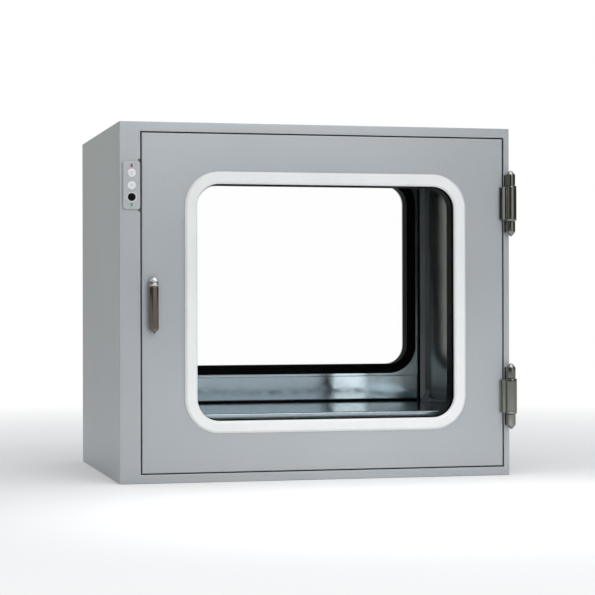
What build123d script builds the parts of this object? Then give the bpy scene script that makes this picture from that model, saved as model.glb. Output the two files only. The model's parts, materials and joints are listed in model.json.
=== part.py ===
"""Cleanroom pass box: a transfer chamber between two interlocked doors.

Millimetres, +Z up. The origin is the middle of the base, where the cabinet rests.
The front face looks along -Y. Every piece of a door side is drawn at the front, with
its depth counted inwards from the front face, and the rear side is its mirror image.
"""
from build123d import *
import os
from dataclasses import dataclass
from math import cos, pi, sin

# --- Cabinet ------------------------------------------------------------------------
cabinet_width = 680.0
cabinet_depth = 480.0
cabinet_height = 600.0
sheet = 1.5                     # outer skin, frames, bulkheads and liner
border_left = 35.0              # face left beside the door, on its latch side
border_right = 10.0             # on its hinge side
border_top = 16.0
border_bottom = 14.5

# --- Transfer chamber ---------------------------------------------------------------
floor_height = 108.0            # top of the chamber floor over the base
sill_height = 76.0              # lower edge of the mouth, below the floor's folded step
step_lap = 6.0                  # how far the floor's step laps behind the bulkhead
mouth_lip_side = 13.0           # bulkhead left round the mouth, from the door opening
mouth_lip_top = 22.0
liner_set_back = 10.0           # side walls stand this far outside the mouth
ceiling_set_back = 6.0
cove_radius = 20.0              # bend between the floor and the side walls

# --- Doors --------------------------------------------------------------------------
door_gap = 2.0
door_thickness = 30.0
inner_pan_fit = 0.2
field_rise = 2.0                # raised field of the inner pan, round the window
field_margin = 5.0

# --- Windows ------------------------------------------------------------------------
window_corner = 38.0            # corner radius of the clear opening
trim_width = 21.0
trim_rise = 6.0
trim_bevel = 4.0
glass_thickness = 5.0
glass_depth = 2.0               # front of the glass behind the front face
glass_bite = 12.0               # glass held beyond the clear opening
skin_bite = 8.0                 # skin cut back from the clear opening
gasket_inset = 1.5              # the gasket's bore is this much smaller than the trim's
gasket_width = 18.0
gasket_flange = 2.5
glazing_fit = 0.5
front_latch_stile = 93.0        # door left beside, under and over the front window
front_hinge_stile = 89.0
front_bottom_rail = 85.5
front_top_rail = 84.0
rear_latch_stile = 67.0         # and the same at the rear window
rear_hinge_stile = 36.0
rear_bottom_rail = 161.5
rear_top_rail = 53.0

# --- Door seal ----------------------------------------------------------------------
seal_height = 6.0
seal_clearance = 0.3
seal_overhang = 3.0             # how far the bulb stands into the mouth
seal_width = 11.0
seal_bevel = 2.0
edging_rise = 4.0               # rubber edging on the floor's step
edging_drop = 8.0
edging_width = 10.0
edging_front = 2.0

# --- Barrel hinges ------------------------------------------------------------------
lower_hinge_rise = 120.5        # hinge centre over the door's lower edge
upper_hinge_drop = 112.0        # and under its upper edge
hinge_length = 114.0
sleeve_length = 61.0
sleeve_radius = 10.0
knuckle_radius = 7.8
knuckle_point = 7.0
axis_from_side = 1.0            # hinge axis inside the cabinet's right face
axis_from_front = 12.0          # and in front of its front face
hinge_pin_radius = 3.5
running_clearance = 0.05
knuckle_gap = 0.4
door_foot_width = 6.0
foot_thickness = 4.0
frame_leaf_reach = 26.0
frame_leaf_thickness = 2.0

# --- Lever and latch ----------------------------------------------------------------
lever_from_door_edge = 18.0
lever_top = 344.0
lever_length = 96.0
lever_pivot_drop = 13.0         # pivot below the lever's upper tip
lever_width = 15.0
lever_thickness = 13.0
lever_bevel = 3.5
lever_point = 8.0
lever_grooves = (10.5, 17.5)    # groove centres below the upper tip
groove_height = 2.0
groove_depth = 1.2
lever_neck_radius = 6.5
lever_stand_off = 9.0
lever_clearance = 0.3           # between the neck and the door's face
spindle_radius = 4.0
spindle_tail = 3.0
tongue_reach = 32.0
tongue_width = 12.0
tongue_thickness = 4.0
tongue_tip_bevel = 3.5
tongue_depth = 11.0             # front of the tongue behind the front face
slot_clearance = 1.5
latch_plate_width = 26.0
latch_plate_height = 70.0
latch_plate_thickness = 3.0

# --- Control panel ------------------------------------------------------------------
panel_width = 29.0
panel_height = 80.0
panel_drop = 50.0               # panel's top under the door opening's
panel_rise = 6.0
panel_wall = 2.0
panel_corner = 5.0
panel_bevel = 1.5
panel_edge_margin = 1.0         # face left between the panel and the door opening
panel_notch_width = 3.0
panel_notch_height = 8.0
button_radius = 7.2
button_drops = {"lamp": 19.8, "uv": 40.4, "release": 59.8}    # under the panel's top
release_radius = 6.3
release_ring_width = 2.2
release_ring_rise = 1.0
button_rise = 1.6
button_travel = 1.5
button_fit = 0.3
button_flange = 1.0
button_flange_thickness = 1.0
indicator_width = 3.0
indicator_height = 5.0
indicator_rise = 0.8
indicator_drops = {"red": 7.7, "green": 72.7}
indicator_root = 1.0            # how far the lens reaches behind the housing's wall
board_thickness = 1.6
board_depth = 4.0
board_margin = 2.0
switch_size = 7.0

# --- Interlock, lamp and supply -----------------------------------------------------
magnet_length = 160.0
magnet_height = 34.0
magnet_depth = 24.0
magnet_from_left = 55.0         # from the door opening's latch side
magnet_centre = 50.0
magnet_fit = 0.5
armature_margin = 4.0
magnet_air_gap = 0.3
controller_size = (150.0, 110.0, 38.0)
controller_centre = (130.0, 20.0)
ballast_size = (210.0, 42.0, 30.0)
ballast_centre = (-130.0, 20.0)
lamp_length = 430.0
lamp_radius = 8.0
lamp_drop = 23.0                # lamp axis below the ceiling
lamp_holder_length = 16.0
lamp_holder_width = 24.0
lamp_holder_foot = 34.0
lamp_foot_thickness = 3.0
lamp_cap_length = 12.0
lamp_cap_rise = 0.5
gland_height = 50.0
gland_from_rear = 80.0
gland_hex = 24.0
gland_nut = 9.0
gland_cap_length = 12.0
gland_cap_radius = 10.0
gland_bore = 5.0
gland_thread_radius = 9.0
gland_thread_length = 14.0
gland_fit = 0.2

# --- Derived places -----------------------------------------------------------------
front = -cabinet_depth / 2
left = -cabinet_width / 2
right = cabinet_width / 2


@dataclass
class Outline:
    """A rectangle in a door's plane."""
    left: float
    right: float
    bottom: float
    top: float

    def grown(self, by):
        return Outline(self.left - by, self.right + by, self.bottom - by, self.top + by)

    def width(self):
        return self.right - self.left

    def middle(self):
        return (self.left + self.right) / 2


opening = Outline(left + border_left, right - border_right,
                  border_bottom, cabinet_height - border_top)
door = opening.grown(-door_gap)
lip_depth = door_thickness + seal_height
mouth = Outline(opening.left + mouth_lip_side, opening.right - mouth_lip_side,
                sill_height, opening.top - mouth_lip_top)
chamber = Outline(mouth.left - liner_set_back, mouth.right + liner_set_back,
                  floor_height, mouth.top + ceiling_set_back)
liner_front = front + lip_depth + sheet
liner_rear = -liner_front

front_window = Outline(door.left + front_latch_stile, door.right - front_hinge_stile,
                       door.bottom + front_bottom_rail, door.top - front_top_rail)
rear_window = Outline(door.left + rear_latch_stile, door.right - rear_hinge_stile,
                      door.bottom + rear_bottom_rail, door.top - rear_top_rail)

hinge_x = right - axis_from_side
hinge_y = front - axis_from_front
hinge_heights = (door.bottom + lower_hinge_rise, door.top - upper_hinge_drop)
lever_x = door.left + lever_from_door_edge
lever_bottom = lever_top - lever_length
pivot_z = lever_top - lever_pivot_drop
panel = Outline(opening.left - panel_edge_margin - panel_width,
                opening.left - panel_edge_margin,
                opening.top - panel_drop - panel_height, opening.top - panel_drop)
button_heights = {name: panel.top - drop for name, drop in button_drops.items()}
indicator_heights = {name: panel.top - drop for name, drop in indicator_drops.items()}


# --- Shapes -------------------------------------------------------------------------
def slab(x0, x1, y0, y1, z0, z1):
    """A block between two opposite corners."""
    block = Box(x1 - x0, y1 - y0, z1 - z0)
    return Pos((x0 + x1) / 2, (y0 + y1) / 2, (z0 + z1) / 2) * block


def plate(outline, start, end, corner=0.0):
    """The outline drawn out between two depths behind the front face."""
    size = (outline.width(), outline.top - outline.bottom)
    shape = RectangleRounded(*size, corner) if corner else Rectangle(*size)
    centre = (outline.middle(), front + end, (outline.bottom + outline.top) / 2)
    return extrude(Plane(centre, x_dir=(1, 0, 0), z_dir=(0, -1, 0)) * shape, end - start)


def ring(outer, inner, start, end, corner=0.0, inner_corner=0.0):
    """A frame between two outlines."""
    return plate(outer, start, end, corner) - plate(inner, start - 1, end + 1, inner_corner)


def rod(x, z, radius, start, end):
    """A round bar between two depths behind the front face."""
    base = Plane((x, front + end, z), x_dir=(1, 0, 0), z_dir=(0, -1, 0))
    return extrude(base * Circle(radius), end - start)


def post(x, y, radius, z0, z1):
    """An upright round bar."""
    return Pos(x, y, (z0 + z1) / 2) * Cylinder(radius, z1 - z0)


def bevelled_front(shape, depth, size):
    """Bevel every edge that lies in the plane at this depth."""
    edges = shape.edges().filter_by_position(Axis.Y, front + depth - 0.01, front + depth + 0.01)
    return chamfer(edges, size)


def save(shape, name):
    export_step(shape, f"parts/{name}.step")


def save_sides(shape, name):
    """The piece at the front, and its mirror image at the rear."""
    save(shape, f"front_{name}")
    save(mirror(shape, about=Plane.XZ), f"rear_{name}")


def save_pair(shape, name):
    """Two like pieces, one on each side, in one node."""
    save(Compound(children=[shape, mirror(shape, about=Plane.XZ)]), name)


# --- Cabinet ------------------------------------------------------------------------
def cabinet_panels():
    skin_front = front + sheet
    side = slab(left, left + sheet, skin_front, -skin_front, 0, cabinet_height)
    save(side, "left_side_panel")
    gland_y = -front - gland_from_rear
    other_side = slab(right - sheet, right, skin_front, -skin_front, 0, cabinet_height)
    gland_hole = Cylinder(gland_thread_radius + gland_fit, 4 * sheet)
    gland_hole = Pos(right, gland_y, gland_height) * Rot(0, 90, 0) * gland_hole
    save(other_side - gland_hole, "right_side_panel")
    inside = (left + sheet, right - sheet, skin_front, -skin_front)
    save(slab(*inside, cabinet_height - sheet, cabinet_height), "roof_panel")
    save(slab(*inside, 0, sheet), "base_plate")


def latch_slot(outer_x, inner_x):
    """The slot that the tongue swings through, in an upright wall."""
    return slab(outer_x, inner_x,
                front + tongue_depth - slot_clearance,
                front + tongue_depth + tongue_thickness + slot_clearance,
                pivot_z - tongue_width / 2 - slot_clearance,
                pivot_z + tongue_reach)


def frame():
    """Face and folded returns round the door opening."""
    face = ring(Outline(left, right, 0, cabinet_height), opening, 0, sheet)
    returns = ring(opening.grown(sheet), opening, sheet, lip_depth)
    shape = face + returns - latch_slot(opening.left - 2 * sheet, opening.left + sheet)
    wiring = panel.grown(-panel_wall - board_margin)
    shape -= plate(wiring, -1, sheet + 1)
    for z in (panel.bottom, panel.top):
        half = panel_notch_height / 2
        notch = Outline(opening.left - panel_notch_width, opening.left + 1, z - half, z + half)
        shape -= plate(notch, -1, sheet)
    return shape


def bulkhead():
    """The plate behind the door that carries the seal, with the chamber's mouth."""
    outer = Outline(left + sheet, right - sheet, sheet, cabinet_height - sheet)
    shape = ring(outer, mouth, lip_depth, lip_depth + sheet)
    return shape - plate(magnet_outline().grown(magnet_fit), lip_depth - 1, lip_depth + sheet + 1)


def door_seal():
    outer = mouth.grown(seal_width - seal_overhang)
    shape = ring(outer, mouth.grown(-seal_overhang), door_thickness + seal_clearance, lip_depth)
    return bevelled_front(shape, door_thickness + seal_clearance, seal_bevel)


def chamber_liner():
    outer_left = chamber.left - sheet
    outer_right = chamber.right + sheet
    spans = (liner_front, liner_rear)
    wall_bottom = floor_height + cove_radius
    flat = (chamber.left + cove_radius, chamber.right - cove_radius)
    step = slab(outer_left, outer_right, liner_front, liner_front + sheet,
                sill_height - step_lap, floor_height - sheet)
    save(slab(*flat, *spans, floor_height - sheet, floor_height)
         + step + mirror(step, about=Plane.XZ), "chamber_floor")
    edging = slab(*flat, liner_front - edging_front, liner_front - edging_front + edging_width,
                  floor_height - edging_drop, floor_height + edging_rise)
    top = edging.faces().sort_by(Axis.Z)[-1].edges().filter_by(Axis.X)
    edging = fillet(top, edging_rise * 0.6)
    edging -= slab(flat[0] - 1, flat[1] + 1, *spans, 0, floor_height)
    save_pair(edging, "sill_edgings")
    save(slab(outer_left, chamber.left, *spans, wall_bottom, chamber.top), "chamber_left_wall")
    save(slab(chamber.right, outer_right, *spans, wall_bottom, chamber.top), "chamber_right_wall")
    save(slab(outer_left, outer_right, *spans, chamber.top, chamber.top + sheet),
         "chamber_ceiling")
    coves = []
    for x, start in ((chamber.left + cove_radius, 180), (chamber.right - cove_radius, 270)):
        centre = Plane((x, liner_rear, wall_bottom), x_dir=(1, 0, 0), z_dir=(0, -1, 0))
        bend = CenterArc((0, 0), cove_radius + sheet / 2, start, 90)
        strip = centre * trace(bend, sheet)
        coves.append(extrude(strip, liner_rear - liner_front))
    save(Compound(children=coves), "floor_coves")


# --- Doors --------------------------------------------------------------------------
def door_skin(window):
    shape = plate(door, 0, door_thickness) - plate(door.grown(-sheet), sheet, door_thickness + 1)
    shape -= plate(window.grown(skin_bite), -1, sheet + 1, window_corner + skin_bite)
    shape -= rod(lever_x, pivot_z, spindle_radius + running_clearance, -1, sheet + 1)
    return shape - latch_slot(door.left - sheet, door.left + 2 * sheet)


def inner_pan(window):
    pan_start = door_thickness - sheet
    field = window.grown(gasket_width - gasket_inset + field_margin)
    shape = plate(door.grown(-sheet - inner_pan_fit), pan_start, door_thickness)
    shape += plate(field, door_thickness, door_thickness + field_rise)
    shape -= plate(field.grown(-sheet), pan_start - 1, pan_start + field_rise)
    cut = glass_bite - gasket_inset + glazing_fit
    return shape - plate(window.grown(cut), pan_start - 1, lip_depth, window_corner + cut)


def glass(window):
    return plate(window.grown(glass_bite), glass_depth, glass_depth + glass_thickness,
                 window_corner + glass_bite)


def window_trim(window):
    """The white surround: a rounded flange on the skin and a sleeve down to the glass."""
    shape = ring(window.grown(trim_width), window, -trim_rise, 0,
                 window_corner + trim_width, window_corner)
    shape = bevelled_front(shape, -trim_rise, trim_bevel)
    reach = skin_bite - glazing_fit
    return shape + ring(window.grown(reach), window, 0, glass_depth,
                        window_corner + reach, window_corner)


def window_gasket(window):
    """The black surround inside: a sleeve behind the glass and a flange on the inner pan."""
    bore = window.grown(-gasket_inset)
    bore_corner = window_corner - gasket_inset
    glass_back = glass_depth + glass_thickness
    seat = door_thickness + field_rise

    def step(width, start, end):
        return ring(bore.grown(width), bore, start, end, bore_corner + width, bore_corner)

    return step(glass_bite, glass_back, seat) + step(gasket_width, seat, seat + gasket_flange)


# --- Barrel hinges ------------------------------------------------------------------
def door_leaf(z):
    """The sleeve and its foot, on the door's face."""
    half = sleeve_length / 2
    sleeve = post(hinge_x, hinge_y, sleeve_radius, z - half, z + half)
    foot = slab(door.right - door_foot_width, door.right, front - foot_thickness, front,
                z - half + 2, z + half - 2)
    neck = slab(door.right - foot_thickness, hinge_x, hinge_y, front - foot_thickness / 2,
                z - half + 2, z + half - 2)
    bore = post(hinge_x, hinge_y, hinge_pin_radius + running_clearance, z - half, z + half)
    return sleeve + foot + neck - bore


def frame_leaf(z):
    """Two pointed knuckles and the pin between them, on a leaf that wraps the corner."""
    tip = hinge_length / 2
    shoulder = sleeve_length / 2 + knuckle_gap
    shape = slab(right, right + frame_leaf_thickness, front, front + frame_leaf_reach,
                 z - tip + knuckle_point, z + tip - knuckle_point)
    for way in (-1, 1):
        ends = sorted((z + way * shoulder, z + way * (tip - knuckle_point)))
        barrel = post(hinge_x, hinge_y, knuckle_radius, *ends)
        point = Rot(0 if way > 0 else 180, 0, 0) * Cone(knuckle_radius, 0, knuckle_point)
        point = Pos(hinge_x, hinge_y, z + way * (tip - knuckle_point / 2)) * point
        arm = slab(opening.right + door_gap / 2, right + frame_leaf_thickness, hinge_y, front, *ends)
        shape += barrel + point + arm
    return shape + post(hinge_x, hinge_y, hinge_pin_radius, z - shoulder, z + shoulder)


# --- Lever and latch ----------------------------------------------------------------
def lever():
    """A bar with two pointed ends and two grooves, on a round neck."""
    half = lever_width / 2
    outline = Polyline((-half, lever_bottom + lever_point), (0, lever_bottom),
                       (half, lever_bottom + lever_point), (half, lever_top - lever_point),
                       (0, lever_top), (-half, lever_top - lever_point), close=True)
    start = -lever_stand_off - lever_thickness
    base = Plane((lever_x, front - lever_stand_off, 0), x_dir=(1, 0, 0), z_dir=(0, -1, 0))
    bar = extrude(base * make_face(outline), lever_thickness)
    nose = bar.edges().filter_by_position(Axis.Y, front + start - 0.01, front + start + 0.01)
    bar = chamfer(nose, lever_bevel)
    core = slab(lever_x - half + groove_depth, lever_x + half - groove_depth,
                front + start + groove_depth, front, lever_bottom, lever_top)
    for drop in lever_grooves:
        z = lever_top - drop
        band = slab(lever_x - half - 1, lever_x + half + 1, front + start - 1, front,
                    z - groove_height / 2, z + groove_height / 2)
        bar -= band - core
    return bar + rod(lever_x, pivot_z, lever_neck_radius, -lever_stand_off, -lever_clearance)


def latch_tongue():
    """The spindle, and the tongue that it swings into the frame."""
    end = tongue_depth + tongue_thickness
    spindle = rod(lever_x, pivot_z, spindle_radius, -lever_clearance, end + spindle_tail)
    half = tongue_width / 2
    hub = rod(lever_x, pivot_z, half, tongue_depth, end)
    arm = slab(lever_x - half, lever_x + half, front + tongue_depth, front + end,
               pivot_z, pivot_z + tongue_reach)
    tip = arm.edges().filter_by(Axis.Y).sort_by(Axis.Z)[-2:]
    return spindle + hub + chamfer(tip, tongue_tip_bevel)


def latch_plate():
    """The plate behind the skin that carries the spindle."""
    outline = Outline(door.left + sheet, door.left + sheet + latch_plate_width,
                      pivot_z - latch_plate_height / 2, pivot_z + latch_plate_height / 2)
    shape = plate(outline, sheet, sheet + latch_plate_thickness)
    return shape - rod(lever_x, pivot_z, spindle_radius + running_clearance, 0, tongue_depth)


# --- Control panel ------------------------------------------------------------------
panel_back = panel_wall - panel_rise
flange_front = panel_back + button_fit
lens_back = panel_back + indicator_root


def button_hole(name):
    return (release_radius if name == "release" else button_radius) + button_fit


def control_housing():
    shape = plate(panel, -panel_rise, 0, panel_corner)
    shape = bevelled_front(shape, -panel_rise, panel_bevel)
    shape -= plate(panel.grown(-panel_wall), panel_back, 1)
    for name, z in button_heights.items():
        shape -= rod(panel.middle(), z, button_hole(name), -panel_rise - 1, 0)
    for z in indicator_heights.values():
        shape -= plate(indicator_outline(z), -panel_rise - 1, 0)
    return shape


def indicator_outline(z):
    half_width = indicator_width / 2
    half_height = indicator_height / 2
    return Outline(panel.middle() - half_width, panel.middle() + half_width,
                   z - half_height, z + half_height)


def indicator(z):
    return plate(indicator_outline(z), -panel_rise - indicator_rise, lens_back)


def release_ring():
    z = button_heights["release"]
    bore = button_hole("release")
    ring_front = -panel_rise - release_ring_rise
    outer = rod(panel.middle(), z, bore + release_ring_width, ring_front, -panel_rise)
    return outer - rod(panel.middle(), z, bore, ring_front - 1, 1)


def square_at(z, half):
    """A square on the panel's middle line."""
    return Outline(panel.middle() - half, panel.middle() + half, z - half, z + half)


def button(name):
    """A cap with a square flange behind the housing, which keeps it from turning."""
    z = button_heights[name]
    radius = button_hole(name) - button_fit
    cap_front = -panel_rise - button_rise
    cap = rod(panel.middle(), z, radius, cap_front, flange_front)
    flange = square_at(z, radius + button_flange)
    return cap + plate(flange, flange_front, flange_front + button_flange_thickness)


def switch_board():
    """A board behind the face with a switch under each button, clear of it when pressed."""
    outline = panel.grown(-board_margin)
    shape = plate(outline, board_depth, board_depth + board_thickness)
    pressed = flange_front + button_flange_thickness + button_travel
    for z in button_heights.values():
        shape += plate(square_at(z, switch_size / 2), pressed + button_fit, board_depth)
    for z in indicator_heights.values():
        shape += plate(indicator_outline(z), lens_back, board_depth)
    for z in (outline.bottom, outline.top - panel_wall):
        stand_off = Outline(outline.left, outline.right, z, z + panel_wall)
        shape += plate(stand_off, sheet, board_depth)
    return shape


# --- Interlock, lamp and supply -----------------------------------------------------
def magnet_outline():
    start = opening.left + magnet_from_left
    return Outline(start, start + magnet_length,
                   magnet_centre - magnet_height / 2, magnet_centre + magnet_height / 2)


def interlock_magnet():
    body = plate(magnet_outline(), lip_depth, lip_depth + magnet_depth)
    feet = Outline(magnet_outline().left, magnet_outline().right, sheet,
                   magnet_outline().bottom)
    bracket = plate(feet, lip_depth + sheet, lip_depth + 2 * sheet)
    return body + bracket


def armature_plate():
    face = magnet_outline().grown(-armature_margin)
    return plate(face, door_thickness, lip_depth - magnet_air_gap)


def standing_box(size, centre, edge):
    """A case that stands on the base plate."""
    length, width, rise = size
    x, y = centre
    shape = slab(x - length / 2, x + length / 2, y - width / 2, y + width / 2,
                 sheet, sheet + rise)
    return fillet(shape.edges().filter_by(Axis.Z), edge)


def lamp():
    """A straight quartz tube with an end cap at each end."""
    z = chamber.top - lamp_drop
    x = chamber.middle()
    shape = Pos(x, 0, z) * Rot(0, 90, 0) * Cylinder(lamp_radius - lamp_cap_rise, lamp_length)
    for way in (-1, 1):
        cap_x = x + way * (lamp_length - lamp_cap_length) / 2
        shape += Pos(cap_x, 0, z) * Rot(0, 90, 0) * Cylinder(lamp_radius, lamp_cap_length)
    return shape


def lamp_holders():
    """A foot on the ceiling and a round-ended body at each end of the lamp."""
    z = chamber.top - lamp_drop
    holders = []
    for way in (-1, 1):
        inner = chamber.middle() + way * lamp_length / 2
        outer = inner + way * lamp_holder_length
        x0, x1 = sorted((inner, outer))
        half = lamp_holder_width / 2
        body = slab(x0, x1, -half, half, z, chamber.top)
        body += Pos((x0 + x1) / 2, 0, z) * Rot(0, 90, 0) * Cylinder(half, lamp_holder_length)
        foot = slab(x0, x1, -lamp_holder_foot / 2, lamp_holder_foot / 2,
                    chamber.top - lamp_foot_thickness, chamber.top)
        holders.append(body + foot)
    return Compound(children=holders)


def cable_gland():
    """A six-sided nut on the side panel, a round cap and the cable's bore."""
    profile = Polyline((-gland_thread_length, gland_bore), (-gland_thread_length, gland_thread_radius),
                       (gland_nut, gland_thread_radius), (gland_nut, gland_cap_radius),
                       (gland_nut + gland_cap_length, gland_cap_radius),
                       (gland_nut + gland_cap_length, gland_bore), close=True)
    turned = revolve(make_face(profile), Axis.X)
    nut = extrude(Plane.YZ * RegularPolygon(gland_hex / 2, 6), gland_nut)
    shape = turned + nut - Rot(0, 90, 0) * Cylinder(gland_bore, 2 * gland_hex)
    return Pos(right, -front - gland_from_rear, gland_height) * shape


# --- Build --------------------------------------------------------------------------
def build():
    os.makedirs("parts", exist_ok=True)
    cabinet_panels()
    save_sides(frame(), "frame")
    save_sides(bulkhead(), "bulkhead")
    save_sides(door_seal(), "door_seal")
    chamber_liner()

    for side, window in (("front", front_window), ("rear", rear_window)):
        makers = {"door_skin": door_skin, "door_inner_pan": inner_pan, "window_glass": glass,
                  "window_trim": window_trim, "window_gasket": window_gasket}
        for name, maker in makers.items():
            shape = maker(window)
            if side == "rear":
                shape = mirror(shape, about=Plane.XZ)
            save(shape, f"{side}_{name}")

    save_sides(Compound(children=[door_leaf(z) for z in hinge_heights]), "hinge_sleeves")
    save_sides(Compound(children=[frame_leaf(z) for z in hinge_heights]), "hinge_knuckles")

    save_sides(lever(), "lever")
    save_sides(latch_tongue(), "latch_tongue")
    save_sides(latch_plate(), "latch_plate")

    save_sides(control_housing(), "control_housing")
    for name in button_heights:
        save_sides(button(name), f"{name}_button")
    save_pair(release_ring(), "release_rings")
    for colour, z in indicator_heights.items():
        save_pair(indicator(z), f"{colour}_indicators")
    save_pair(switch_board(), "switch_boards")

    save_pair(interlock_magnet(), "interlock_magnets")
    save_sides(armature_plate(), "armature_plate")
    save(standing_box(controller_size, controller_centre, 4), "interlock_controller")
    save(standing_box(ballast_size, ballast_centre, 3), "lamp_ballast")
    save(lamp(), "uv_lamp")
    save(lamp_holders(), "lamp_holders")
    save(cable_gland(), "cable_gland")


build()
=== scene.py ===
"""Looks of a cleanroom pass box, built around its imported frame.

Metres, +Z up. The front door faces -Y. Rear pieces mirror their front ones, and only the
rear window has its own size. Depths are counted inwards from the front face, in millimetres.
"""
import json
import math

import bmesh
import bpy
from bpy.props import FloatProperty, FloatVectorProperty, IntProperty, PointerProperty
from mathutils import Matrix, Vector

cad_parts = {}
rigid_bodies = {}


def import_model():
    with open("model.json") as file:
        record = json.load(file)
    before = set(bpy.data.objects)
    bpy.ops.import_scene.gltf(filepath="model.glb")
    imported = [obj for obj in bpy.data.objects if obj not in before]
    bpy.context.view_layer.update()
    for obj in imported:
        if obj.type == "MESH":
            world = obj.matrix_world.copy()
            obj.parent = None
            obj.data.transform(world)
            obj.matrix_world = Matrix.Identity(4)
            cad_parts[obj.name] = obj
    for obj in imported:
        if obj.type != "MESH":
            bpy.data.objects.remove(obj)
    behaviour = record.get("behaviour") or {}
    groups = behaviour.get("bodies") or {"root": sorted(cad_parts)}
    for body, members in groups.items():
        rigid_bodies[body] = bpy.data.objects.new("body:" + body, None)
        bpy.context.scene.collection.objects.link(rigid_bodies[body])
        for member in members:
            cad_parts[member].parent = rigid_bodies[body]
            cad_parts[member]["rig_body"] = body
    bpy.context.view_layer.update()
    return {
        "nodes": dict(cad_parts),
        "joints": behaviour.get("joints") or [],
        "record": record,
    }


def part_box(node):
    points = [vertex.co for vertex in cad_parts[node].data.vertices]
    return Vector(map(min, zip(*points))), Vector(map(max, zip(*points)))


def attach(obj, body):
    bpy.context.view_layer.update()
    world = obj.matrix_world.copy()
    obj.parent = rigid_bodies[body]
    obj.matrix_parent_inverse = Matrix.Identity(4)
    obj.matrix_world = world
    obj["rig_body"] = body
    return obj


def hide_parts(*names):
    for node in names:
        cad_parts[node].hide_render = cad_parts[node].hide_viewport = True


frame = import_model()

bl_info = {
    "name": "Cleanroom pass box",
    "version": (1, 0, 0),
    "blender": (4, 5, 0),
    "location": "View3D > Sidebar > Pass box",
    "description": "Dresses the packed frame of a pass box",
    "category": "Object",
}

MM = 0.001
SIDES = ("front", "rear")
HINGE_HALF = 57.0       # a hinge's middle to its points, in millimetres
BARREL_HALF = 30.5      # half the length of a hinge's sleeve
GRIP_HALF = 0.0285      # half the height of the sleeve's foot and neck
ARM_END = 0.050         # a hinge's middle to the ends of its arms and leaf
LEVER_DEPTH = 13        # from the lever's nose to its back, in millimetres
CAP_FACE = 7.75         # how far the caps stand from the front face, in millimetres
FLANGE_BACK = 2.7       # front and back of the flange that holds a cap in its panel
FLANGE_FACE = 3.7
FRAME_WIDTH = 595       # the rendered frame's width and the camera's focal length, in pixels
FOCAL_LENGTH = 1905
SENSOR_WIDTH = 36


# --- Places read from the frame -----------------------------------------------------
class Rect:
    """A rectangle in a door's plane, in metres."""

    def __init__(self, left, right, bottom, top):
        self.left = left
        self.right = right
        self.bottom = bottom
        self.top = top

    @classmethod
    def of(cls, node):
        low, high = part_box(node)
        return cls(low[0], high[0], low[2], high[2])

    def grown(self, by):
        return Rect(self.left - by, self.right + by, self.bottom - by, self.top + by)

    @property
    def size(self):
        return self.right - self.left, self.top - self.bottom

    @property
    def middle(self):
        return (self.left + self.right) / 2, (self.bottom + self.top) / 2


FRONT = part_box("front_frame")[0][1]


def at_depth(depth):
    """Y of a place that many millimetres behind the front face."""
    return FRONT + depth * MM


# --- Sizes and colours a user would change --------------------------------------------
class SteelSettings(bpy.types.PropertyGroup):
    satin: FloatVectorProperty(name="Satin steel", description="Colour of the outer sheets",
                               subtype="COLOR", size=3, default=(0.445, 0.465, 0.482))
    mirror: FloatVectorProperty(name="Mirror steel", description="Colour of the inner sheets",
                                subtype="COLOR", size=3, default=(0.42, 0.50, 0.54))
    # Painted shade: the walls' steel is a darker copy of the mirror steel, standing in for the
    # dark reflections on the chamber's walls.
    wall: FloatVectorProperty(name="Wall steel", description="Colour of the chamber's walls",
                              subtype="COLOR", size=3, default=(0.20, 0.215, 0.205))
    fold: FloatProperty(name="Fold radius", description="Roundness of the sheets' folded edges",
                        default=0.0007, unit="LENGTH")
    crease: FloatProperty(name="Door edge radius", description="Roundness of the doors' outer "
                          "edges", default=0.0014, unit="LENGTH")


class TrimSettings(bpy.types.PropertyGroup):
    width: FloatProperty(name="Surround width", description="Width of the white surround",
                         default=0.021, unit="LENGTH")
    corner: FloatProperty(name="Window corner", description="Corner radius of the window",
                          default=0.038, unit="LENGTH")
    segments: IntProperty(name="Corner segments", description="Faces round each corner",
                          default=14)


class HardwareSettings(bpy.types.PropertyGroup):
    # Painted dark reflection: the hinges' chrome is darkened so it shows near black.
    chrome: FloatVectorProperty(name="Dark chrome", description="Colour of hinges and levers",
                                subtype="COLOR", size=3, default=(0.26, 0.26, 0.23))
    # Painted highlight: the cap's chrome is a lighter copy of the lever's plating.
    bright: FloatVectorProperty(name="Bright chrome", description="Colour of the lever's cap",
                                subtype="COLOR", size=3, default=(0.85, 0.86, 0.86))
    # Painted dark reflection: the lever body's colour is its chrome darkened and browned.
    lever_shade: FloatVectorProperty(name="Lever body", description="Colour of the lever's body",
                                subtype="COLOR", size=3, default=(0.19, 0.15, 0.122))
    turns: IntProperty(name="Lathe steps", description="Faces round a turned piece", default=48)


# --- Mesh tools -----------------------------------------------------------------------
def rounded_loop(bm, rect, corner, depth, segments):
    """The edges of a rectangle with round corners, in the door's plane."""
    grid = bmesh.ops.create_grid(bm, x_segments=1, y_segments=1, size=0.5)
    verts = grid["verts"]
    width, height = rect.size
    bmesh.ops.scale(bm, vec=(width, height, 1), verts=verts)
    bmesh.ops.rotate(bm, cent=(0, 0, 0), matrix=Matrix.Rotation(math.pi / 2, 3, "X"), verts=verts)
    x, z = rect.middle
    bmesh.ops.translate(bm, vec=(x, at_depth(depth), z), verts=verts)
    face = verts[0].link_faces[0]
    others = set(bm.faces) - {face}
    bmesh.ops.bevel(bm, geom=verts, offset=corner, segments=segments, profile=0.5,
                    affect="VERTICES", material=-1, clamp_overlap=True)
    face = max((f for f in bm.faces if f not in others), key=lambda f: f.calc_area())
    edges = list(face.edges)
    bmesh.ops.delete(bm, geom=[face], context="FACES_ONLY")
    return edges


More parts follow.
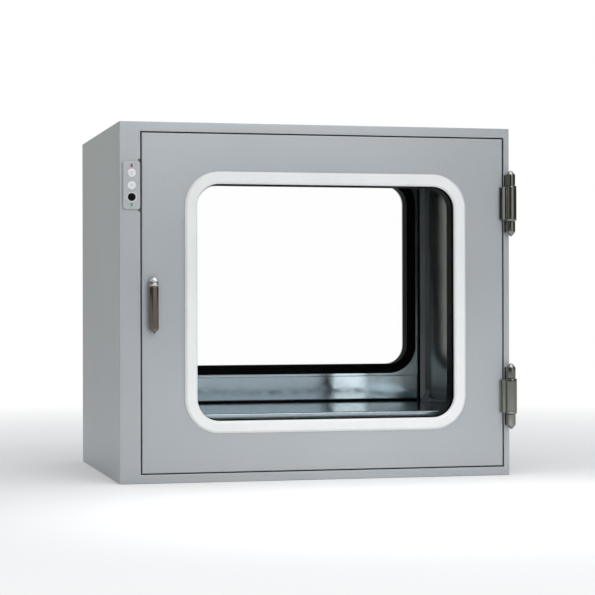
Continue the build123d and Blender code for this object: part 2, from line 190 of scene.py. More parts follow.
def surround(rect, corner, section, segments=12):
    """A closed frame: its section's points are (outwards, depth) in millimetres."""
    bm = bmesh.new()
    loops = [rounded_loop(bm, rect.grown(out * MM), corner + out * MM,
                          depth + (0.02 if place % 2 else 0), segments)
             for place, (out, depth) in enumerate(section)]
    for here, there in zip(loops, loops[1:] + loops[:1]):
        bmesh.ops.bridge_loops(bm, edges=here + there)
    bmesh.ops.recalc_face_normals(bm, faces=bm.faces)
    return bm


def in_face(edge):
    """Tells whether an edge lies in the front or the rear face."""
    return all(abs(abs(v.co.y) + FRONT) < 1e-5 for v in edge.verts)


def soften(bm, width, segments=3, angle=32, clamp=True, only=None):
    """Rounds every edge sharper than the angle, or those of them that the test picks."""
    edges = [e for e in bm.edges
             if len(e.link_faces) == 2 and e.calc_face_angle(0) > math.radians(angle)
             and (only is None or only(e))]
    bmesh.ops.bevel(bm, geom=edges, offset=width, segments=segments, profile=0.5,
                    affect="EDGES", material=-1, clamp_overlap=clamp)


def lathe(profile, centre, axis="Z", steps=48):
    """Turns (radius, along) points, in millimetres, round an axis through the centre."""
    bm = bmesh.new()
    points = [bm.verts.new((radius * MM, 0, along * MM)) for radius, along in profile]
    edges = [bm.edges.new(pair) for pair in zip(points, points[1:])]
    bmesh.ops.spin(bm, geom=points + edges, cent=(0, 0, 0), axis=(0, 0, 1),
                   angle=math.tau, steps=steps, use_merge=True)
    bmesh.ops.remove_doubles(bm, verts=bm.verts, dist=1e-6)
    bmesh.ops.holes_fill(bm, edges=[e for e in bm.edges if e.is_boundary])
    bmesh.ops.recalc_face_normals(bm, faces=bm.faces)
    turns = {"Z": Matrix.Identity(3), "Y": Matrix.Rotation(math.pi / 2, 3, "X"),
             "X": Matrix.Rotation(math.pi / 2, 3, "Y")}
    bmesh.ops.rotate(bm, cent=(0, 0, 0), matrix=turns[axis], verts=bm.verts)
    bmesh.ops.translate(bm, vec=centre, verts=bm.verts)
    return bm


def block(low, high):
    """A block between two corners."""
    bm = bmesh.new()
    bmesh.ops.create_cube(bm, size=1)
    bmesh.ops.scale(bm, vec=[b - a for a, b in zip(low, high)], verts=bm.verts)
    bmesh.ops.translate(bm, vec=[(a + b) / 2 for a, b in zip(low, high)], verts=bm.verts)
    return bm


def prism(points, start, end):
    """An outline in the door's plane, (x, z) in metres, drawn out between two depths."""
    bm = bmesh.new()
    corners = [bm.verts.new((x, at_depth(end), z)) for x, z in points]
    face = bm.faces.new(corners)
    grown = bmesh.ops.extrude_face_region(bm, geom=[face])
    tops = [v for v in grown["geom"] if isinstance(v, bmesh.types.BMVert)]
    bmesh.ops.translate(bm, vec=(0, (start - end) * MM, 0), verts=tops)
    bmesh.ops.recalc_face_normals(bm, faces=bm.faces)
    return bm


def joined(*parts):
    """Several loose shells in one bmesh."""
    whole = bmesh.new()
    for part in parts:
        mesh = bpy.data.meshes.new("part")
        part.to_mesh(mesh)
        part.free()
        whole.from_mesh(mesh)
        bpy.data.meshes.remove(mesh)
    return whole


def mirrored(bm):
    """The rear twin of a front piece."""
    twin = bm.copy()
    bmesh.ops.scale(twin, vec=(1, -1, 1), verts=twin.verts)
    bmesh.ops.reverse_faces(twin, faces=twin.faces)
    return twin


def of_node(node):
    """A clean copy of a node's mesh."""
    bm = bmesh.new()
    bm.from_mesh(frame["nodes"][node].data)
    bmesh.ops.remove_doubles(bm, verts=bm.verts, dist=2e-6)
    return bm


def piece(name, bm, body, finish, replaces=(), smooth=35):
    """Makes an object of the mesh, on its body, in its finish."""
    for edge in bm.edges:
        edge.smooth = edge.calc_face_angle(0) < math.radians(smooth)
    for face in bm.faces:
        face.smooth = True
    mesh = bpy.data.meshes.new(name)
    bm.to_mesh(mesh)
    bm.free()
    made = bpy.data.objects.new(name, mesh)
    bpy.context.scene.collection.objects.link(made)
    mesh.materials.append(finish)
    even = made.modifiers.new("even_shading", "WEIGHTED_NORMAL")
    even.keep_sharp = True
    if replaces:
        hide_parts(*replaces)
    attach(made, body)
    return made


def both_sides(name, bm, body, finish, node=None):
    """The piece at the front and its twin at the rear, each for its own node."""
    twin = mirrored(bm)
    for side, mesh in (("front", bm), ("rear", twin)):
        rides = body.format(side=side)
        nodes = (f"{side}_{node}",) if node else ()
        piece(f"{side}_{name}", mesh, rides, finish, nodes)


# --- Finishes -------------------------------------------------------------------------
class Value:
    """A socket that can be used in sums."""

    def __init__(self, maker, socket):
        self.maker = maker
        self.socket = socket

    def sum(self, operation, *terms):
        node = self.maker.tree.nodes.new("ShaderNodeMath")
        node.operation = operation
        for place, term in enumerate(terms):
            if isinstance(term, Value):
                self.maker.tree.links.new(term.socket, node.inputs[place])
            else:
                node.inputs[place].default_value = term
        return Value(self.maker, node.outputs[0])

    def __add__(self, other):
        return self.sum("ADD", self, other)

    __radd__ = __add__

    def __mul__(self, other):
        return self.sum("MULTIPLY", self, other)

    __rmul__ = __mul__


class Nodes:
    """Adds nodes to a tree."""

    def __init__(self, tree):
        self.tree = tree
        tree.nodes.clear()

    def node(self, kind, settings=None, output=0, **sockets):
        made = self.tree.nodes.new("ShaderNode" + kind)
        for key, value in (settings or {}).items():
            setattr(made, key, value)
        for key, value in sockets.items():
            by_place = key[0] == "i" and key[1:].isdigit()
            target = made.inputs[int(key[1:]) if by_place else key.replace("_", " ")]
            if isinstance(value, Value):
                self.tree.links.new(value.socket, target)
            else:
                target.default_value = value
        return Value(self, made.outputs[output])

    def band(self, value, low, high, start=0.0, end=1.0):
        return self.node("MapRange", Value=value, From_Min=low, From_Max=high,
                         To_Min=start, To_Max=end)

    def blend(self, share, first, second):
        colours = [c if isinstance(c, Value) else (*c[:3], 1) for c in (first, second)]
        return self.node("Mix", {"data_type": "RGBA"}, 2, i0=share, i6=colours[0],
                         i7=colours[1])


class Finish(Nodes):
    """A material round one Principled shader."""

    def __init__(self, name, **constants):
        self.material = bpy.data.materials.new(name)
        self.material.use_nodes = True
        super().__init__(self.material.node_tree)
        self.out = self.tree.nodes.new("ShaderNodeOutputMaterial")
        self.shader = self.tree.nodes.new("ShaderNodeBsdfPrincipled")
        self.tree.links.new(self.shader.outputs[0], self.out.inputs[0])
        for socket, value in constants.items():
            self.shader.inputs[socket.replace("_", " ")].default_value = value

    def place(self, scale=(1, 1, 1)):
        return self.node("Mapping", Vector=self.node("TexCoord", output="Object"), Scale=scale)

    def noise(self, scale, detail=3, stretch=(1, 1, 1), rough=0.5):
        return self.node("TexNoise", Vector=self.place(stretch), Scale=scale, Detail=detail,
                         Roughness=rough)

    def bump(self, height, distance, strength=1.0):
        self.set("Normal", self.node("Bump", Height=height, Distance=distance,
                                     Strength=strength))

    def set(self, socket, value):
        self.tree.links.new(value.socket, self.shader.inputs[socket])


def shade(colour, by):
    return [min(1.0, c * by) for c in colour[:3]]


def satin_steel(colour):
    """Satin sheet: fine grain, faint clouds and a softer sheen along them."""
    finish = Finish("satin_steel", Metallic=0.62, Roughness=0.36)
    cloud = finish.noise(2.6, 2)
    grain = finish.noise(900, 2, (1, 1, 0.03), 0.6)
    mix = finish.band(cloud * 0.75 + grain * 0.25, 0.35, 0.65)
    finish.set("Base Color", finish.blend(mix, shade(colour, 0.93), shade(colour, 1.05)))
    finish.set("Roughness", finish.band(grain * 0.6 + cloud * 0.4, 0.3, 0.7, 0.31, 0.43))
    finish.bump(grain, 0.00002, 0.25)
    return finish.material


def mirror_steel(name, colour, low=0.07, high=0.15):
    """Polished sheet with the slow waviness of thin metal."""
    finish = Finish(name, Metallic=0.88)
    wave = finish.noise(7, 2)
    haze = finish.noise(60, 3)
    finish.set("Base Color", finish.blend(finish.band(haze, 0.3, 0.7),
                                          shade(colour, 0.94), shade(colour, 1.04)))
    finish.set("Roughness", finish.band(haze, 0.3, 0.7, low, high))
    finish.bump(wave, 0.0012, 0.5)
    return finish.material


def chrome(name, colour, low=0.08, high=0.15):
    """Polished plating with a light haze of handling."""
    finish = Finish(name, Metallic=1.0)
    haze = finish.noise(90, 3)
    finish.set("Base Color", finish.blend(finish.band(haze, 0.3, 0.7),
                                          shade(colour, 0.95), shade(colour, 1.05)))
    finish.set("Roughness", finish.band(haze, 0.3, 0.7, low, high))
    return finish.material


def moulded(name, colour, roughness=0.42, coat=0.0, spread=0.05, shine=0.5):
    """Moulded plastic or rubber with a faint uneven skin."""
    finish = Finish(name, Coat_Weight=coat, Coat_Roughness=0.12, Specular_IOR_Level=shine)
    skin = finish.noise(420, 3)
    cloud = finish.noise(18, 2)
    finish.set("Base Color", finish.blend(finish.band(cloud, 0.3, 0.7),
                                          shade(colour, 1 - spread), shade(colour, 1 + spread)))
    finish.set("Roughness", finish.band(skin, 0.3, 0.7, roughness - 0.05, roughness + 0.06))
    finish.bump(skin, 0.00004, 0.2)
    return finish.material


def plated_steel():
    finish = Finish("plated_steel", Metallic=1.0)
    spangle = finish.node("TexVoronoi", Vector=finish.place(), Scale=170.0)
    finish.set("Base Color", finish.blend(finish.band(spangle, 0.0, 0.9),
                                          (0.36, 0.37, 0.38), (0.46, 0.47, 0.48)))
    finish.set("Roughness", finish.band(spangle, 0.0, 0.9, 0.3, 0.46))
    return finish.material


def window_glass():
    """Clear glass: nearly nothing face on, more at a glancing view."""
    finish = Finish("window_glass", Roughness=0.02, IOR=1.5)
    smear = finish.noise(9, 2)
    edge = finish.node("Fresnel", IOR=1.45)
    finish.set("Base Color", finish.blend(finish.band(smear, 0.3, 0.7),
                                          (0.02, 0.03, 0.03), (0.03, 0.04, 0.04)))
    finish.set("Alpha", finish.band(edge, 0.034, 1.0, 0.003, 0.7))
    return finish.material


def quartz():
    finish = Finish("quartz_tube", Roughness=0.05)
    haze = finish.noise(40, 2)
    edge = finish.node("Fresnel", IOR=1.45)
    finish.set("Base Color", finish.blend(haze, (0.8, 0.83, 0.86), (0.92, 0.94, 0.96)))
    finish.set("Alpha", finish.band(edge, 0.03, 0.6, 0.25, 0.9))
    return finish.material


def circuit_board():
    finish = Finish("board_green", Roughness=0.4)
    tracks = finish.node("TexBrick", Vector=finish.place((1, 1, 1)), Scale=260.0, output=1)
    finish.set("Base Color", finish.blend(tracks, (0.02, 0.13, 0.06), (0.03, 0.22, 0.10)))
    return finish.material


FINISHES = {}


def make_finishes():
    """Every finish, kept by name."""
    steel = bpy.context.scene.box_steel
    hardware = bpy.context.scene.box_hardware
    made = {
        "satin_steel": satin_steel(steel.satin),
        "mirror_steel": mirror_steel("mirror_steel", steel.mirror),
        # Painted shade: a darker copy of the mirror steel for the chamber's walls.
        "wall_steel": mirror_steel("wall_steel", steel.wall, 0.17, 0.20),
        "plain_steel": plated_steel(),
        # Chrome darkened as a painted dark reflection, for the hinges.
        "chrome": chrome("dark_chrome", hardware.chrome, 0.06, 0.09),
        # A lighter copy of the lever's plating for its cap: a painted highlight.
        "bright_chrome": chrome("bright_chrome", hardware.bright),
        # The lever's chrome darkened and browned for its body: a painted dark reflection.
        "bronze_chrome": chrome("bronze_chrome", hardware.lever_shade, 0.08, 0.11),
        "black_rubber": moulded("black_rubber", (0.004, 0.004, 0.004), 0.5, shine=0.04),
        "white_trim": moulded("white_trim", (0.80, 0.805, 0.80), 0.34, 0.2, 0.02),
        "grey_plastic": moulded("grey_plastic", (0.46, 0.47, 0.48), 0.4),
        "pale_plastic": moulded("pale_plastic", (0.66, 0.66, 0.65), 0.35),
        "white_plastic": moulded("white_plastic", (0.78, 0.78, 0.79), 0.36, 0.2, 0.02),
        "black_plastic": moulded("black_plastic", (0.004, 0.004, 0.005), 0.4, shine=0.06),
        "red_lens": moulded("red_lens", (0.26, 0.015, 0.07), 0.15, 0.8),
        "green_lens": moulded("green_lens", (0.05, 0.34, 0.13), 0.15, 0.8),
        "circuit_board": circuit_board(),
        "aluminium_case": plated_steel(),
        "clear_glass": window_glass(),
        "quartz_lamp": quartz(),
        "icon_grey": moulded("icon_grey", (0.36, 0.37, 0.39), 0.4),
    }
    FINISHES.update(made)


# --- Operators ------------------------------------------------------------------------
class BOX_OT_finishes(bpy.types.Operator):
    """Make the finishes and give them to the frame's own nodes"""
    bl_idname = "box.finishes"
    bl_label = "Finishes"

    def execute(self, context):
        make_finishes()
        walls = ("chamber_left_wall", "chamber_right_wall", "chamber_ceiling")
        for subpart in frame["record"]["subparts"]:
            node = frame["nodes"][subpart["node"]]
            # The walls and ceiling get the darker copy of the mirror steel, a painted shade; the
            # other nodes keep their own finishes.
            dark = subpart["node"] in walls
            finish = FINISHES["wall_steel" if dark else subpart["material_slot"]]
            if not node.data.materials:
                node.data.materials.append(finish)
            for place in range(len(node.material_slots)):
                node.material_slots[place].material = finish
        return {"FINISHED"}


class BOX_OT_sheets(bpy.types.Operator):
    """Round the folded edges of the steel sheets"""
    bl_idname = "box.sheets"
    bl_label = "Steel sheets"

    def execute(self, context):
        fold = context.scene.box_steel.fold
        crease = context.scene.box_steel.crease
        satin = ["left_side_panel", "right_side_panel", "roof_panel", "base_plate",
                 "front_frame", "rear_frame", "front_bulkhead", "rear_bulkhead",
                 "front_door_skin", "rear_door_skin"]
        mirror = ["front_door_inner_pan", "rear_door_inner_pan"]
        for names, finish, slot in ((satin, "satin_steel", "satin_steel"),
                                    (mirror, "mirror_steel", "mirror_steel")):
            for node in names:
                bm = of_node(node)
                if node.endswith("_door_skin"):
                    soften(bm, crease, 3, clamp=False, only=in_face)
                soften(bm, fold, 2, clamp=False)
                body = frame["nodes"][node]["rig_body"]
                piece(f"{node}_sheet", bm, body, FINISHES[finish], (node,))
        return {"FINISHED"}


class BOX_OT_windows(bpy.types.Operator):
    """Mould the white surrounds and the black gaskets of both windows"""
    bl_idname = "box.windows"
    bl_label = "Windows"

    def execute(self, context):
        settings = context.scene.box_trim
        for side in SIDES:
            clear = Rect.of(f"{side}_window_trim").grown(-settings.width)
            width = settings.width / MM
            trim = surround(clear, settings.corner,
                            [(width, 0), (width, -2.2), (width - 3.6, -6), (3.4, -6), (0, -3.4),
                             (0, 2), (7.5, 2), (7.5, 0)], settings.segments)
            soften(trim, 0.0013, 3, 20)
            gasket = surround(clear, settings.corner,
                              [(-1.5, 7), (10.5, 7), (10.5, 32), (16.5, 32), (16.5, 34.5),
                               (6.5, 34.5), (5.7, 33.6), (4.9, 34.5), (-1.5, 34.5)],
                              settings.segments)
            soften(gasket, 0.0006, 2, 40)
            for name, bm, finish in (("window_trim", trim, "white_trim"),
                                     ("window_gasket", gasket, "black_rubber")):
                if side == "rear":
                    bm = mirrored(bm)
                piece(f"{side}_{name}_moulding", bm, f"{side}_door", FINISHES[finish],
                      (f"{side}_{name}",))
        return {"FINISHED"}


class BOX_OT_seals(bpy.types.Operator):
    """Form the bulb seals round the chamber's mouths"""
    bl_idname = "box.seals"
    bl_label = "Door seals"

    def execute(self, context):
        outer = Rect.of("front_door_seal")
        seal = surround(outer, 0.012, [(0, 36), (0, 33.4), (-1.2, 31.4), (-4, 30.3), (-8, 30.5),
                                       (-10.2, 32), (-11, 34), (-11, 36)], 4)
        soften(seal, 0.0006, 2, 24)
        both_sides("bulb_seal", seal, "cabinet", FINISHES["black_rubber"], "door_seal")
        return {"FINISHED"}


def joint_place(name):
    """Where a joint sits."""
    return next(joint["pos_m"] for joint in frame["joints"] if joint["name"] == name)


def hinge_middles():
    """The middles of the two front hinges."""
    x, y = joint_place("front_door_hinge")[:2]
    low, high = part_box("front_hinge_knuckles")
    half = HINGE_HALF * MM
    return (x, y, low[2] + half), (x, y, high[2] - half)


def screw(x, y, z, radius=2.6):
    """A screw head with a cross, facing +X."""
    head = lathe([(0, -0.6), (radius, -0.6), (radius, 0.15), (radius - 0.5, 0.45), (0, 0.55)],
                 (0, 0, 0), "Z", 20)
    cross = block((-0.0014, -0.00035, 0.0001), (0.0014, 0.00035, 0.0006))
    other = block((-0.00035, -0.0014, 0.0001), (0.00035, 0.0014, 0.0006))
    whole = joined(head, cross, other)
    bmesh.ops.rotate(whole, cent=(0, 0, 0), matrix=Matrix.Rotation(math.pi / 2, 3, "Y"),
                     verts=whole.verts)
    bmesh.ops.translate(whole, vec=(x, y, z), verts=whole.verts)
    return whole


def hinge_sleeve(x, y, z, steps):
    """The sleeve with its end grooves, and the foot and neck that tie it to the door."""
    half = [(3.6, BARREL_HALF), (8.6, BARREL_HALF), (9.6, 29.9), (10, 28.9), (10, 26.4),
            (9.7, 26.1), (9.7, 25.7), (10, 25.4)]
    lower = [(radius, -along) for radius, along in half]
    sleeve = lathe(lower + half[::-1] + lower[:1], (x, y, z), "Z", steps)
    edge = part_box("front_door_skin")[1][0]
    foot = block((edge - 0.006, FRONT - 0.004, z - GRIP_HALF), (edge, FRONT, z + GRIP_HALF))
    neck = block((edge - 0.004, y, z - GRIP_HALF), (x, FRONT - 0.002, z + GRIP_HALF))
    soften(foot, 0.0008)
    soften(neck, 0.0006)
    return [sleeve, foot, neck]


def hinge_knuckle(x, y, z, way, steps):
    """The upper (1) or lower (-1) knuckle, pointed and grooved, with its arm."""
    profile = [(0, 30.9), (7.0, 30.9), (7.8, 31.6), (7.8, 48.6), (7.3, 49.4), (7.3, 50.2),
               (6.6, 50.8), (4.6, 53.4), (2.6, 55.6), (1.2, 56.7), (0, HINGE_HALF)]
    knuckle = lathe([(radius, way * along) for radius, along in profile], (x, y, z), "Z", steps)
    ends = sorted((z + way * 0.0309, z + way * ARM_END))
    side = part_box("front_hinge_knuckles")[1][0]
    arm = block((x - 0.008, y, ends[0]), (side, FRONT, ends[1]))
    soften(arm, 0.0006)
    return [knuckle, arm]


def hinge_leaf(x, y, z):
    """The pin and the leaf that lies on the cabinet's side."""
    pin = lathe([(0, -30.9), (3.5, -30.9), (3.5, 30.9), (0, 30.9)], (x, y, z), "Z", 24)
    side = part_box("front_hinge_knuckles")[1][0]
    leaf = block((side - 0.002, FRONT, z - ARM_END), (side, FRONT + 0.026, z + ARM_END))
    soften(leaf, 0.0008)
    return [pin, leaf]


class BOX_OT_hinges(bpy.types.Operator):
    """Turn the sleeves and pointed knuckles of the barrel hinges"""
    bl_idname = "box.hinges"
    bl_label = "Barrel hinges"

    def execute(self, context):
        steps = context.scene.box_hardware.turns
        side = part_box("front_hinge_knuckles")[1][0]
        sleeves = []
        knuckles = []
        screws = []
        for place in hinge_middles():
            sleeves += hinge_sleeve(*place, steps)
            for way in (-1, 1):
                knuckles += hinge_knuckle(*place, way, steps)
            knuckles += hinge_leaf(*place)
            for up in (-0.036, 0, 0.036):
                screws.append(screw(side - 0.0006, FRONT + 0.015, place[2] + up))
        # The hinges take the chrome darkened as a painted dark reflection.
        chrome = FINISHES["chrome"]
        both_sides("sleeve_pair", joined(*sleeves), "{side}_door", chrome, "hinge_sleeves")
        both_sides("knuckle_pair", joined(*knuckles), "cabinet", chrome, "hinge_knuckles")
        both_sides("leaf_screws", joined(*screws), "cabinet", FINISHES["plain_steel"], None)
        return {"FINISHED"}


class BOX_OT_levers(bpy.types.Operator):
    """Shape the levers with their pointed caps and grooves"""
    bl_idname = "box.levers"
    bl_label = "Levers"

    def execute(self, context):
        low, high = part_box("front_lever")
        x = (low[0] + high[0]) / 2
        half = (high[0] - low[0]) / 2
        front = (low[1] - FRONT) / MM
        back = front + LEVER_DEPTH
        top, bottom = high[2], low[2]
        point = 0.008

        def part(upper, lower, inset=0.0, up=False, down=False):
            w = half - inset
            foot = lower + (point if down else 0)
            head = upper - (point if up else 0)
            outline = [(x - w, foot), (x + w, foot), (x + w, head), (x - w, head)]
            if up:
                outline.insert(3, (x, upper))
            if down:
                outline.insert(1, (x, lower))
            bm = prism(outline, front + inset / MM, back)
            face_y = at_depth(front + inset / MM)
            if not inset:
                nose = [e for e in bm.edges if all(abs(v.co.y - face_y) < 1e-6 for v in e.verts)
                        and abs(e.verts[0].co.z - e.verts[1].co.z) > 1e-5]
                bmesh.ops.bevel(bm, geom=nose, offset=0.0056, segments=6, profile=0.5,
                                affect="EDGES", material=-1, clamp_overlap=True)
            soften(bm, 0.0004, 2, 40)
            return bm

        cap = part(top, top - 0.0095, up=True)
        band = part(top - 0.0115, top - 0.0165)
        body = part(top - 0.0185, bottom, down=True)
        core = part(top - 0.009, top - 0.019, 0.0012)
        pivot = joint_place("front_lever_turn")
        neck = lathe([(0, 0.3), (6.5, 0.3), (6.5, 1.2), (5.6, 2.0), (5.6, 7.4), (6.5, 9), (0, 9)],
                     (pivot[0], FRONT, pivot[2]), "Y", 40)
        # The lever's body takes the chrome darkened and browned as a painted dark reflection.
        both_sides("lever_bar", joined(body, core, neck), "{side}_lever",
                   FINISHES["bronze_chrome"], "lever")
        # The cap and band take the lighter copy of the plating, a painted highlight.
        both_sides("lever_cap", joined(cap, band), "{side}_lever", FINISHES["bright_chrome"],
                   None)
        return {"FINISHED"}


def button_places():
    """The middle of each front button, x and z."""
    return {name: Rect.of(f"front_{name}_button").middle for name in ("lamp", "uv", "release")}


class BOX_OT_panels(bpy.types.Operator):
    """Mould the button panels, their caps and the release rings"""
    bl_idname = "box.panels"
    bl_label = "Button panels"

    def execute(self, context):
        housing = of_node("front_control_housing")
        soften(housing, 0.0006, 3, 40)
        both_sides("panel_housing", housing, "cabinet", FINISHES["grey_plastic"],
                   "control_housing")
        places = button_places()
        for name, (x, z) in places.items():
            radius = 6.3 if name == "release" else 7.2
            finish = "black_plastic" if name == "release" else "white_plastic"
            cap = lathe([(0, CAP_FACE), (radius * 0.55, 7.72), (radius * 0.82, 7.6),
                         (radius - 0.6, 7.35), (radius - 0.15, 6.9), (radius, 6.4),
                         (radius, FLANGE_FACE), (0, FLANGE_FACE)], (x, FRONT, z), "Y", 48)
            reach = (radius + 1) * MM
            flange = block((x - reach, at_depth(-FLANGE_FACE), z - reach),
                           (x + reach, at_depth(-FLANGE_BACK), z + reach))
            both_sides(f"{name}_cap", joined(cap, flange), "{side}_" + f"{name}_button",
                       FINISHES[finish], f"{name}_button")
        x, z = places["release"]
        ring = lathe([(6.6, 6), (6.6, 6.7), (7.0, 7.0), (8.2, 7.0), (8.7, 6.6), (8.8, 6),
                      (6.6, 6)], (x, FRONT, z), "Y", 48)
        rings = joined(ring.copy(), mirrored(ring))
        piece("release_ring_pair", rings, "cabinet", FINISHES["pale_plastic"],
              ("release_rings",))
        return {"FINISHED"}


class BOX_OT_marks(bpy.types.Operator):
    """Lay the plain marks on the two white buttons"""
    bl_idname = "box.marks"
    bl_label = "Button marks"

    def execute(self, context):
        for name, (x, z) in button_places().items():
            if name == "release":
                continue
            parts = [lathe([(1.5, 7.70), (1.5, 7.80), (2.1, 7.80), (2.1, 7.70), (1.5, 7.70)],
                           (x, FRONT, z), "Y", 28)]
            rays = 8 if name == "lamp" else 6
            for turn in range(rays):
                ray = block((x - 0.0002, at_depth(-7.8), z + 0.0028),
                            (x + 0.0002, at_depth(-7.68), z + 0.0040))
                bmesh.ops.rotate(ray, cent=(x, FRONT, z),
                                 matrix=Matrix.Rotation(math.tau * turn / rays, 3, "Y"),
                                 verts=ray.verts)
                parts.append(ray)
            both_sides(f"{name}_mark", joined(*parts), "{side}_" + f"{name}_button",
                       FINISHES["icon_grey"])
        return {"FINISHED"}


class BOX_OT_lamp(bpy.types.Operator):
    """Dress the lamp, its holders and the cable gland"""
    bl_idname = "box.lamp"
    bl_label = "Lamp and gland"

    def execute(self, context):
        low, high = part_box("uv_lamp")
        middle = [(a + b) / 2 for a, b in zip(low, high)]
        half = (high[0] - low[0]) / 2 / MM
        tube = lathe([(0, -half + 11), (7.5, -half + 11), (7.5, half - 11), (0, half - 11)],
                     middle, "X", 32)
        caps = []
        for way in (-1, 1):
            profile = [(0, half), (6.8, half), (7.8, half - 1), (8, half - 2), (8, half - 9.5),
                       (7.4, half - 11), (7.4, half - 12), (0, half - 12)]
            caps.append(lathe([(r, way * a) for r, a in profile], middle, "X", 32))
        piece("lamp_tube", tube, "cabinet", FINISHES["quartz_lamp"], ("uv_lamp",))
        piece("lamp_caps", joined(*caps), "cabinet", FINISHES["white_plastic"], ())
        holders = of_node("lamp_holders")
        soften(holders, 0.0008, 2, 40)
        piece("holder_pair", holders, "cabinet", FINISHES["white_plastic"], ("lamp_holders",))
        for side, finish in (("front", "mirror_steel"), ("rear", "black_rubber")):
            edging = of_node("sill_edgings")
            bmesh.ops.delete(edging, geom=[v for v in edging.verts
                                           if (v.co.y < 0) != (side == "front")])
            soften(edging, 0.0003, 2, 40)
            piece(f"{side}_edging", edging, "cabinet", FINISHES[finish],
                  ("sill_edgings",) if side == "rear" else ())
        gland = of_node("cable_gland")
        soften(gland, 0.0007, 2, 40)
        piece("gland_body", gland, "cabinet", FINISHES["black_plastic"], ("cable_gland",))
        return {"FINISHED"}


# --- Stage ----------------------------------------------------------------------------
class BOX_OT_stage(bpy.types.Operator):
    """Set the floor, the lights and the camera"""
    bl_idname = "box.stage"
    bl_label = "Stage"

    def execute(self, context):
        make_floor()
        make_world()
        add_area("foreground", (0.08, -0.75, 0.55), (0.08, -0.75, 0), (0.8, 0.5), 1.8, 110)
        add_area("key", (0.5, -3.0, 1.7), (-0.05, -0.24, 0.3), (1.2, 1.2), 15)
        add_area("left fill", (-2.6, -1.6, 1.4), (-0.3, 0, 0.3), (1.8, 1.8), 3)
        add_area("top", (0.2, -0.4, 2.6), (0, 0, 0.3), (1.6, 1.6), 14)
        add_area("chamber", (0.287, -0.19, 0.142), (0.287, 0.2, 0.142), (0.07, 0.058), 0.024)
        make_camera()
        return {"FINISHED"}


def make_floor():
    """A pale floor that keeps the shadow near the box and fades to white away from it."""
    bm = bmesh.new()
    bmesh.ops.create_grid(bm, x_segments=1, y_segments=1, size=30)
    bmesh.ops.translate(bm, vec=(0, 0, -0.0004), verts=bm.verts)
    mesh = bpy.data.meshes.new("stage_floor")
    bm.to_mesh(mesh)
    bm.free()
    floor = bpy.data.objects.new("stage_floor", mesh)
    bpy.context.scene.collection.objects.link(floor)
    finish = Finish("pale_floor", Roughness=0.9, Base_Color=(0.86, 0.86, 0.86, 1))
    finish.shader.inputs["Specular IOR Level"].default_value = 0.1
    camera_ray = finish.node("LightPath", output="Is Camera Ray")
    away = finish.node("VectorMath", {"operation": "LENGTH"}, 1,
                       i0=finish.node("TexCoord", output="Object"))
    far = finish.band(away, 0.7, 2.2)
    glow = finish.node("Emission", Color=(1, 1, 1, 1), Strength=1.0)
    both = finish.tree.nodes.new("ShaderNodeMixShader")
    finish.tree.links.new((camera_ray * (far * 0.85 + 0.15)).socket, both.inputs[0])
    finish.tree.links.new(finish.shader.outputs[0], both.inputs[1])
    finish.tree.links.new(glow.socket, both.inputs[2])
    finish.tree.links.new(both.outputs[0], finish.out.inputs[0])
    mesh.materials.append(finish.material)


def make_world():
    """A pale backdrop, a soft front light for polished metal and a darker room beside it."""
    world = bpy.data.worlds.new("studio")
    bpy.context.scene.world = world
    world.use_nodes = True
    made = Nodes(world.node_tree)
    way = made.node("TexCoord", output="Generated")
    ahead = made.node("VectorMath", {"operation": "DOT_PRODUCT"}, 1, i0=way,
                      i1=(0.30, -0.954, 0.0))
    height = made.node("SeparateXYZ", output="Z", Vector=way)
    behind = made.node("SeparateXYZ", output="Y", Vector=way)
    room = made.blend(made.band(behind, 0.2, 0.8), (0.075, 0.07, 0.06), (0.50, 0.52, 0.48))
    room = made.blend(made.band(ahead, 0.86, 0.99), room, (0.72, 0.76, 0.80))
    room = made.blend(made.band(height, 0.45, 0.8), room, (0.95, 0.96, 0.98))
    glossy = made.node("LightPath", output="Is Glossy Ray")
    light = made.blend(glossy, (0.62, 0.64, 0.66), room)
    camera = made.node("LightPath", output="Is Camera Ray")
    through = made.node("LightPath", output="Is Transmission Ray")
    seen = camera.sum("MAXIMUM", camera, through)
    colour = made.blend(seen, light, (1, 1, 1))
    background = made.node("Background", Color=colour)
    out = made.tree.nodes.new("ShaderNodeOutputWorld")
    made.tree.links.new(background.socket, out.inputs[0])


def add_area(name, place, target, size, power, spread=180):
    """A soft lamp at a place, turned to its target."""
    light = bpy.data.lights.new(name, "AREA")
    light.shape = "RECTANGLE"
    light.size, light.size_y = size
    light.spread = math.radians(spread)
    light.energy = power
    lamp = bpy.data.objects.new(name, light)
    lamp.visible_camera = False
    lamp.location = place
    lamp.rotation_euler = (Vector(target) - Vector(place)).to_track_quat("-Z", "Y").to_euler()
    bpy.context.scene.collection.objects.link(lamp)


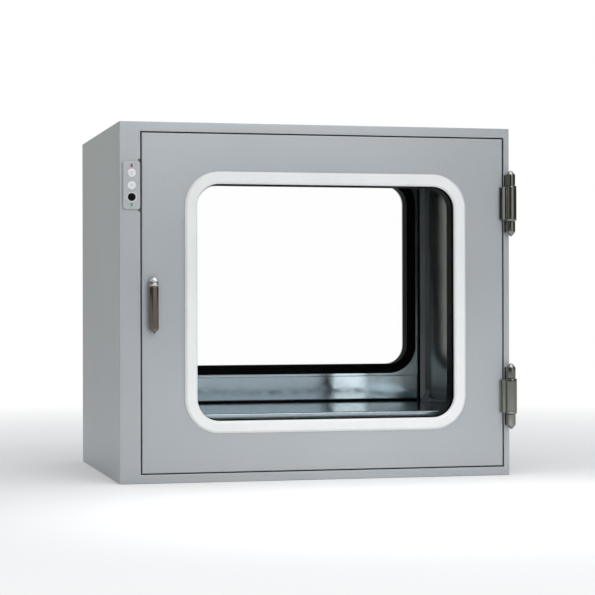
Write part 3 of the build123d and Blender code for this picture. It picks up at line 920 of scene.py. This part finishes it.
def make_camera():
    """A long lens, left of the front face and half way up it."""
    data = bpy.data.cameras.new("camera")
    data.sensor_width = SENSOR_WIDTH
    data.lens = FOCAL_LENGTH / FRAME_WIDTH * SENSOR_WIDTH
    camera = bpy.data.objects.new("camera", data)
    yaw, pitch, roll = 0.239, 0.0028, -0.0022
    ahead = Vector((math.sin(yaw) * math.cos(pitch), math.cos(yaw) * math.cos(pitch),
                    math.sin(pitch)))
    right = Vector((math.cos(yaw), -math.sin(yaw), 0))
    up = right.cross(ahead)
    across = math.cos(roll) * right + math.sin(roll) * up
    upward = math.cos(roll) * up - math.sin(roll) * right
    turn = Matrix((across, upward, -ahead)).transposed().to_4x4()
    camera.matrix_world = Matrix.Translation((-0.799, -3.364, 0.299)) @ turn
    bpy.context.scene.collection.objects.link(camera)
    bpy.context.scene.camera = camera
    bpy.context.scene.view_settings.view_transform = "Standard"


class BOX_PT_panel(bpy.types.Panel):
    """Lists the steps that dress the pass box"""
    bl_idname = "BOX_PT_panel"
    bl_label = "Pass box"
    bl_space_type = "VIEW_3D"
    bl_region_type = "UI"
    bl_category = "Pass box"

    def draw(self, context):
        for step in STEPS:
            self.layout.operator(step.bl_idname)
        for group in (context.scene.box_steel, context.scene.box_trim,
                      context.scene.box_hardware):
            for name in group.__annotations__:
                self.layout.prop(group, name)


STEPS = (BOX_OT_finishes, BOX_OT_sheets, BOX_OT_windows, BOX_OT_seals, BOX_OT_hinges,
         BOX_OT_levers, BOX_OT_panels, BOX_OT_marks, BOX_OT_lamp, BOX_OT_stage)
GROUPS = {"box_steel": SteelSettings, "box_trim": TrimSettings, "box_hardware": HardwareSettings}


def register():
    for group in GROUPS.values():
        bpy.utils.register_class(group)
    for name, group in GROUPS.items():
        setattr(bpy.types.Scene, name, PointerProperty(type=group))
    for step in STEPS:
        bpy.utils.register_class(step)
    bpy.utils.register_class(BOX_PT_panel)


def unregister():
    bpy.utils.unregister_class(BOX_PT_panel)
    for step in reversed(STEPS):
        bpy.utils.unregister_class(step)
    for name, group in GROUPS.items():
        delattr(bpy.types.Scene, name)
        bpy.utils.unregister_class(group)


def main():
    register()
    for step in STEPS:
        area, name = step.bl_idname.split(".")
        getattr(getattr(bpy.ops, area), name)()


if __name__ == "__main__":
    main()
